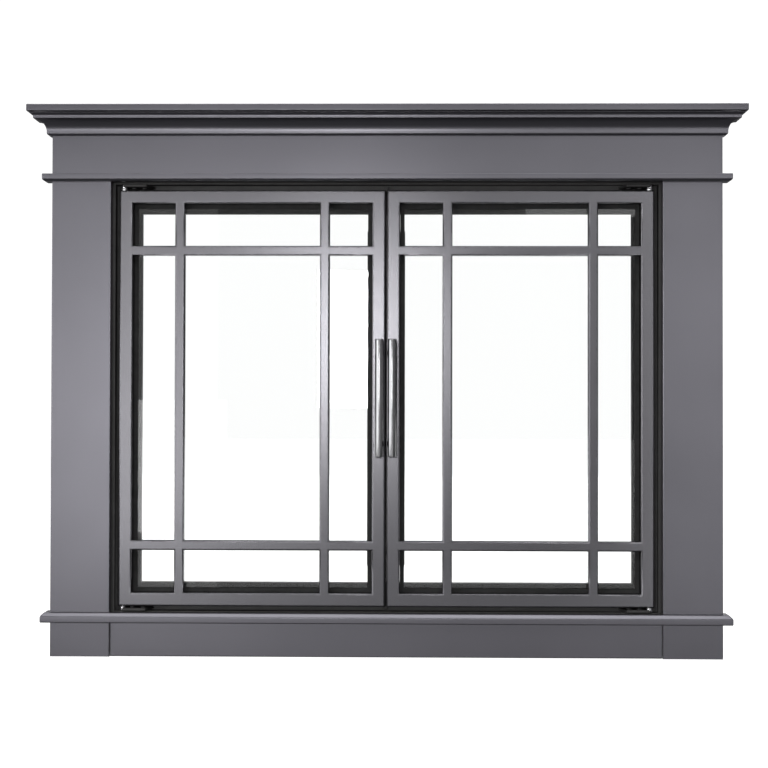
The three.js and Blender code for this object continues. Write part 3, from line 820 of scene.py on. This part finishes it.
class DOOR_OT_handles(bpy.types.Operator):
    """Make the two bar handles and their posts"""

    bl_idname = "fireplace_door.handles"
    bl_label = "Handles"

    def execute(self, context):
        for door in DOORS:
            handle_bar(door)
            for level in LEVELS:
                handle_post(door, level)
        return {"FINISHED"}


PIN_RADIUS = 3 * MM
PIN_EDGE = 0.5 * MM
PIN_STEPS = 4
BARREL_EDGE = 0.6 * MM
BARREL_BORE = 3.35 * MM  # its radius
BARREL_STEPS = 5


def hinge_barrel(level, side):
    """Short tube with softened rims that the pin turns in."""
    node = f"hinge_barrel_{level}_{side}"
    low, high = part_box(node)
    outside = rounded_ends((high.x - low.x) / 2, low.z, high.z, BARREL_EDGE, BARREL_STEPS)
    bottom, top = Vector((BARREL_BORE, low.z)), Vector((BARREL_BORE, high.z))
    round_piece(node, "zinc", SURROUND, [bottom, *outside, top, bottom])


def pivot_pin(side, level):
    """Pin with the collar that the door rides on."""
    door = f"{side}_door"
    node = f"{door}_pivot_pin_{level}"
    low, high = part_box(node)
    barrel_low, barrel_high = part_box(f"hinge_barrel_{level}_{side}")
    if level == "lower":
        collar_low, collar_high = barrel_high.z + SEAT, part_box(f"{door}_bottom_rail")[0].z - SEAT
    else:
        collar_low, collar_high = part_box(f"{door}_top_rail")[1].z + SEAT, barrel_low.z - SEAT
    end = PIN_RADIUS - PIN_EDGE
    foot = [Vector((0, low.z)), Vector((end, low.z)), Vector((PIN_RADIUS, low.z + PIN_EDGE))]
    collar = [Vector((PIN_RADIUS, collar_low)),
              *rounded_ends((high.x - low.x) / 2, collar_low, collar_high, PIN_EDGE, PIN_STEPS),
              Vector((PIN_RADIUS, collar_high))]
    head = [Vector((PIN_RADIUS, high.z - PIN_EDGE)), Vector((end, high.z)), Vector((0, high.z))]
    round_piece(node, "zinc", door, [*foot, *collar, *head])


class DOOR_OT_hinges(bpy.types.Operator):
    """Make the hinge barrels and the doors' pivot pins"""

    bl_idname = "fireplace_door.hinges"
    bl_label = "Hinges"

    def execute(self, context):
        for level in LEVELS:
            for side in SIDES:
                hinge_barrel(level, side)
                pivot_pin(side, level)
        return {"FINISHED"}


# ---- Fasteners -------------------------------------------------------------------------------------------
HEAD_STEPS = 24
HEAD_DOME = ((1.0, 0.0), (1.0, 0.3), (0.93, 0.62), (0.78, 0.88), (0.66, 1.0))  # shares of radius and height
DRIVE_SHARE = 0.55  # recess size as a share of the head's radius
DRIVE_DEPTH_SHARE = 0.5
DRIVE_TAPER = 0.85  # recess size at its bottom as a share of that at its top
CROSS_WIDTH_SHARE = 0.3  # arm width of a cross recess as a share of its length


def cross_edge(angle, size):
    """Distance from the middle of a cross recess to its edge."""
    arm = size * CROSS_WIDTH_SHARE
    c, s = max(abs(math.cos(angle)), TINY), max(abs(math.sin(angle)), TINY)
    return max(min(size / c, arm / s), min(arm / c, size / s))


def hexagon_edge(angle, size):
    """Distance from the middle of a hexagon to its edge."""
    sector = math.radians(60)
    return size * math.cos(sector / 2) / math.cos((angle % sector) - sector / 2)


def screw_head(name, radius, height, drive_edge):
    """A domed head with its recess, standing on z = 0."""
    angles = [2 * math.pi * (i + 0.5) / HEAD_STEPS for i in range(HEAD_STEPS)]
    drive = [drive_edge(angle, radius * DRIVE_SHARE) for angle in angles]
    rings = [[(radius * across, height * up)] * HEAD_STEPS for across, up in HEAD_DOME]
    rings.append([(edge, height) for edge in drive])
    rings.append([(DRIVE_TAPER * edge, height * (1 - DRIVE_DEPTH_SHARE)) for edge in drive])
    bm = bmesh.new()
    loft(bm, [[(r * math.cos(a), r * math.sin(a), z) for (r, z), a in zip(ring, angles)] for ring in rings])
    return creased_piece(name, bm)


FASTENER_INPUTS = (("Geometry", "Geometry"), ("Head", "Object"), ("Turn", "Float"), ("Seed", "Int"),
                   ("Material", "Material"))


def fastener_tree():
    """Node tree: a head on every point, facing its way, each turned by a different amount."""
    tree = bpy.data.node_groups.new("fastener_heads", "GeometryNodeTree")
    for name, kind in FASTENER_INPUTS:
        tree.interface.new_socket(name, in_out="INPUT", socket_type=f"NodeSocket{kind}")
    tree.interface.new_socket("Geometry", in_out="OUTPUT", socket_type="NodeSocketGeometry")
    node, link = tree.nodes.new, tree.links.new
    inputs, outputs = node("NodeGroupInput"), node("NodeGroupOutput")
    head = node("GeometryNodeObjectInfo")
    link(inputs.outputs["Head"], head.inputs["Object"])
    facing = node("GeometryNodeInputNamedAttribute")
    facing.data_type = "FLOAT_VECTOR"
    facing.inputs["Name"].default_value = "facing"
    align = node("FunctionNodeAlignRotationToVector")
    align.axis = "Z"
    link(facing.outputs["Attribute"], align.inputs["Vector"])
    turn = node("FunctionNodeRandomValue")
    turn.data_type = "FLOAT"
    link(inputs.outputs["Turn"], next(s for s in turn.inputs if s.name == "Max" and s.type == "VALUE"))
    link(inputs.outputs["Seed"], turn.inputs["Seed"])
    spin = node("FunctionNodeAxisAngleToRotation")
    spin.inputs["Axis"].default_value = (0, 0, 1)
    link(next(s for s in turn.outputs if s.type == "VALUE"), spin.inputs["Angle"])
    rotate = node("FunctionNodeRotateRotation")
    rotate.rotation_space = "LOCAL"
    link(align.outputs["Rotation"], rotate.inputs["Rotation"])
    link(spin.outputs["Rotation"], rotate.inputs["Rotate By"])
    place = node("GeometryNodeInstanceOnPoints")
    link(inputs.outputs["Geometry"], place.inputs["Points"])
    link(head.outputs["Geometry"], place.inputs["Instance"])
    link(rotate.outputs["Rotation"], place.inputs["Rotation"])
    real = node("GeometryNodeRealizeInstances")
    link(place.outputs["Instances"], real.inputs["Geometry"])
    paint = node("GeometryNodeSetMaterial")
    link(real.outputs["Geometry"], paint.inputs["Geometry"])
    link(inputs.outputs["Material"], paint.inputs["Material"])
    link(paint.outputs["Geometry"], outputs.inputs["Geometry"])
    return tree


def set_input(modifier, tree, name, value):
    """Sets a named input of a Geometry Nodes modifier by its socket's identifier."""
    socket = next(item for item in tree.interface.items_tree if item.name == name and item.in_out == "INPUT")
    modifier[socket.identifier] = value


def place_fasteners(name, body, tree, head, places, slot):
    """Sets one head on each (position, facing) and makes the result one plain piece."""
    mesh = bpy.data.meshes.new(name)
    mesh.from_pydata([position for position, _ in places], [], [])
    facing = mesh.attributes.new("facing", "FLOAT_VECTOR", "POINT")
    for item, (_, direction) in zip(facing.data, places):
        item.vector = direction
    points = new_piece(f"{name}_points", mesh)
    modifier = points.modifiers.new("Fasteners", "NODES")
    modifier.node_group = tree
    set_input(modifier, tree, "Head", head)
    set_input(modifier, tree, "Turn", 2 * math.pi)
    set_input(modifier, tree, "Seed", settings("door_fasteners").turn_seed)
    set_input(modifier, tree, "Material", material(slot))
    bpy.context.view_layer.update()
    evaluated = points.evaluated_get(bpy.context.evaluated_depsgraph_get())
    piece = new_piece(name, bpy.data.meshes.new_from_object(evaluated))
    bpy.data.objects.remove(points)
    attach(piece, body)


FRONT, REAR, UP, DOWN = Vector((0, -1, 0)), Vector((0, 1, 0)), Vector((0, 0, 1)), Vector((0, 0, -1))
STRAP_SCREW_OFFSETS = (14 * MM, 29 * MM)  # from the pivot axis
RETAINER_SCREWS = 5
RETAINER_END = 18 * MM  # from the ends of the strip
RETAINER_SCREW_INSET = 2.6 * MM  # from the strip's edge over the tube
HEM_SCREWS = 5
HEM_SCREW_X = 396 * MM  # from the middle
HEM_END = 60 * MM  # from the ends of the jamb
PLINTH_SCREWS = 5
PLINTH_SCREW_Z = 55.5 * MM
PLINTH_END = 60 * MM  # from the ends of the plinth
BOLT_DROP = {"lintel": 14 * MM, "floor": 14.3 * MM}  # below the top of the bracket


def spread(low, high, count):
    return [low + (high - low) * i / (count - 1) for i in range(count)]


def strap_screws():
    """Screws that hold the hinge straps to the frame unit's head and sill."""
    places = []
    for level in LEVELS:
        for side in SIDES:
            low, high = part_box(f"hinge_strap_{level}_{side}")
            pivot = centre_of(f"hinge_barrel_{level}_{side}")
            inward = 1 if side == "left" else -1
            z, facing = (high.z, UP) if level == "lower" else (low.z, DOWN)
            for offset in STRAP_SCREW_OFFSETS:
                places.append(((pivot.x + inward * offset, (low.y + high.y) / 2, z), facing))
    return places


def bracket_bolts():
    """Bolts through the frame unit's flange that hold the brackets."""
    places = []
    for kind, drop in BOLT_DROP.items():
        for side in SIDES:
            low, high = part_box(f"{kind}_bracket_{side}")
            places.append((((low.x + high.x) / 2, low.y - SEAT - SHEET, high.z - drop), FRONT))
    return places


def hem_screws():
    """Screws from behind that hold the frame unit to the surround's folded edges."""
    low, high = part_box("jamb_left")
    rear = low.y + SHEET
    places = [((side * HEM_SCREW_X, rear, z), REAR) for side in (-1, 1)
              for z in spread(low.z + HEM_END, high.z - HEM_END, HEM_SCREWS)]
    low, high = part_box("plinth_panel")
    along = spread(low.x + PLINTH_END, high.x - PLINTH_END, PLINTH_SCREWS)
    return places + [((x, rear, PLINTH_SCREW_Z), REAR) for x in along]


def retainer_screws(door):
    """Screws that hold the glass retainers to the stiles."""
    places = []
    for place in ("outer", "inner"):
        low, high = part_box(f"{door}_glass_retainer_{place}")
        pane = centre_of(f"{door}_glass")
        x = low.x + RETAINER_SCREW_INSET if low.x < pane.x else high.x - RETAINER_SCREW_INSET
        for z in spread(low.z + RETAINER_END, high.z - RETAINER_END, RETAINER_SCREWS):
            places.append(((x, high.y, z), REAR))
    return places


class DOOR_OT_fasteners(bpy.types.Operator):
    """Make the screws and bolts with a Geometry Nodes tree"""

    bl_idname = "fireplace_door.fasteners"
    bl_label = "Fasteners"

    def execute(self, context):
        sizes = settings("door_fasteners")
        tree = fastener_tree()
        small = screw_head("small_screw", sizes.screw_radius, sizes.screw_height, cross_edge)
        broad = screw_head("broad_screw", sizes.strap_screw_radius, sizes.strap_screw_height, cross_edge)
        bolt = screw_head("bolt", sizes.bolt_radius, sizes.bolt_height, hexagon_edge)
        place_fasteners("strap_screws", SURROUND, tree, broad, strap_screws(), "dark_frame")
        place_fasteners("bracket_bolts", SURROUND, tree, bolt, bracket_bolts(), "zinc")
        place_fasteners("hem_screws", SURROUND, tree, small, hem_screws(), "zinc")
        for door in DOORS:
            place_fasteners(f"{door}_retainer_screws", door, tree, small, retainer_screws(door), "zinc")
        for head in (small, broad, bolt):
            bpy.data.objects.remove(head)
        return {"FINISHED"}


# ---- Stage -----------------------------------------------------------------------------------------------
SENSOR_WIDTH = 36  # millimetres
FLOOR_HALF = 12.0  # metres from the middle to the floor's edge
FLOOR_DROP = 0.3 * MM  # how far the floor lies below the plinth
MIDDLE = (0, 0, 0.4)  # where the lamps aim
LAMPS = (  # name, position, width, height in metres, power in watts
    ("key", (-0.31, -6.0, 0.72), 0.32, 0.78, 40),
    ("left_strip", (-1.32, -6.0, 0.40), 0.56, 2.9, 4.2),
    ("left_low", (-1.32, -6.0, 0.0), 0.67, 0.75, 8.2),
    ("left_outer", (-1.80, -6.0, 0.53), 0.56, 2.4, 18),
    ("right_outer", (1.90, -6.0, 0.43), 0.64, 2.6, 20),
    ("right_high", (1.25, -6.0, 1.75), 1.1, 0.66, 5.5),
    ("low_front", (0.0, -6.0, -1.05), 3.6, 0.7, 7),
    ("left_wall", (-2.6, -2.0, 0.5), 2.6, 1.2, 46),
    ("right_wall", (2.6, -2.0, 0.5), 2.6, 1.2, 3),
    ("top_front", (0.0, -1.9, 2.2), 2.2, 0.8, 22),
    ("top", (0.0, -0.5, 2.3), 2.4, 0.8, 24),
    ("rear_top", (0.0, 2.2, 2.6), 2.6, 1.0, 60),
    ("rear", (0.0, 5.0, 1.2), 3.0, 2.0, 50),
    ("left_side", (-5.0, 1.4, 0.9), 2.6, 1.6, 55),
    ("right_side", (5.0, 1.4, 0.9), 2.6, 1.6, 55),
)


def soft_box(name, position, width, height, power):
    """An area light aimed at the middle of the object; the camera sees its light but not the lamp."""
    light = bpy.data.lights.new(name, "AREA")
    light.shape = "RECTANGLE"
    light.size, light.size_y = width, height
    light.energy = power
    lamp = bpy.data.objects.new(name, light)
    lamp.location = position
    lamp.rotation_euler = (Vector(MIDDLE) - Vector(position)).to_track_quat("-Z", "Y").to_euler()
    lamp.visible_camera = lamp.visible_transmission = False
    bpy.context.scene.collection.objects.link(lamp)


def surroundings():
    """A pale backdrop to look at, and a dim room once light has met a surface other than glass."""
    stage = settings("door_stage")
    world = bpy.data.worlds.new("studio")
    world.use_nodes = True
    tree = world.node_tree
    path = tree.nodes.new("ShaderNodeLightPath")
    bounces = tree.nodes.new("ShaderNodeMath")
    for socket, count in enumerate(("Diffuse Depth", "Glossy Depth")):
        tree.links.new(path.outputs[count], bounces.inputs[socket])
    seen = tree.nodes.new("ShaderNodeMath")
    seen.operation = "LESS_THAN"
    seen.inputs[1].default_value = 0.5  # true while there was no bounce
    tree.links.new(bounces.outputs["Value"], seen.inputs[0])
    mix = tree.nodes.new("ShaderNodeMix")
    mix.data_type = "RGBA"
    tree.links.new(seen.outputs["Value"], mix.inputs["Factor"])
    for name, value in (("A", stage.room), ("B", [stage.backdrop] * 3)):
        next(s for s in mix.inputs if s.name == name and s.type == "RGBA").default_value = (*value, 1)
    tree.links.new(next(s for s in mix.outputs if s.type == "RGBA"),
                   tree.nodes["Background"].inputs["Color"])
    bpy.context.scene.world = world


def studio_floor():
    bm = bmesh.new()
    bmesh.ops.create_grid(bm, x_segments=1, y_segments=1, size=FLOOR_HALF)
    bmesh.ops.translate(bm, verts=bm.verts, vec=(0, 0, -FLOOR_DROP))
    floor = new_piece("studio_floor", mesh_from("studio_floor", bm))
    # It neither lights nor shades the object.
    floor.visible_diffuse = floor.visible_glossy = floor.visible_shadow = False
    floor.data.materials.append(material("floor"))


def studio_camera():
    stage = settings("door_stage")
    camera = bpy.data.cameras.new("camera")
    camera.lens = stage.lens
    camera.sensor_width = SENSOR_WIDTH
    stand = bpy.data.objects.new("camera", camera)
    stand.location = (stage.camera_side, PILASTER_FACE - stage.camera_distance, stage.camera_height)
    aim = Vector((-stage.aim_side, PILASTER_FACE, stage.camera_height + stage.aim_rise))
    level = (aim - stand.location).to_track_quat("-Z", "Y")
    stand.rotation_euler = (level @ Quaternion((0, 0, 1), stage.camera_roll)).to_euler()
    bpy.context.scene.collection.objects.link(stand)
    bpy.context.scene.camera = stand


class DOOR_OT_stage(bpy.types.Operator):
    """Set up the pale floor, the soft lights and the camera"""

    bl_idname = "fireplace_door.stage"
    bl_label = "Stage"

    def execute(self, context):
        studio_camera()
        studio_floor()
        surroundings()
        for lamp in LAMPS:
            soft_box(*lamp)
        context.scene.view_settings.view_transform = "Standard"
        return {"FINISHED"}


# ---- Add-on ----------------------------------------------------------------------------------------------
STEPS = ("surround", "frame_unit", "doors", "glazing", "handles", "hinges", "fasteners", "stage")


class DOOR_PT_panel(bpy.types.Panel):
    """Lists the steps and the settings"""

    bl_idname = "DOOR_PT_panel"
    bl_label = "Fireplace Door"
    bl_space_type = "VIEW_3D"
    bl_region_type = "UI"
    bl_category = "Fireplace Door"

    def draw(self, context):
        layout = self.layout
        for step in STEPS:
            layout.operator(f"fireplace_door.{step}")
        for name, group in SETTINGS.items():
            box = layout.box()
            for key in group.__annotations__:
                box.prop(getattr(context.scene, name), key)


SETTINGS = {
    "door_finish": DoorFinishSettings,
    "door_edges": DoorEdgeSettings,
    "door_fasteners": DoorFastenerSettings,
    "door_stage": DoorStageSettings,
}
CLASSES = (
    *SETTINGS.values(),
    DOOR_OT_surround,
    DOOR_OT_frame_unit,
    DOOR_OT_doors,
    DOOR_OT_glazing,
    DOOR_OT_handles,
    DOOR_OT_hinges,
    DOOR_OT_fasteners,
    DOOR_OT_stage,
    DOOR_PT_panel,
)


def register():
    for item in CLASSES:
        bpy.utils.register_class(item)
    for name, group in SETTINGS.items():
        setattr(bpy.types.Scene, name, PointerProperty(type=group))


def unregister():
    for name in SETTINGS:
        delattr(bpy.types.Scene, name)
    for item in reversed(CLASSES):
        bpy.utils.unregister_class(item)


def main():
    register()
    for step in STEPS:
        getattr(bpy.ops.fireplace_door, step)()


if __name__ == "__main__":
    main()
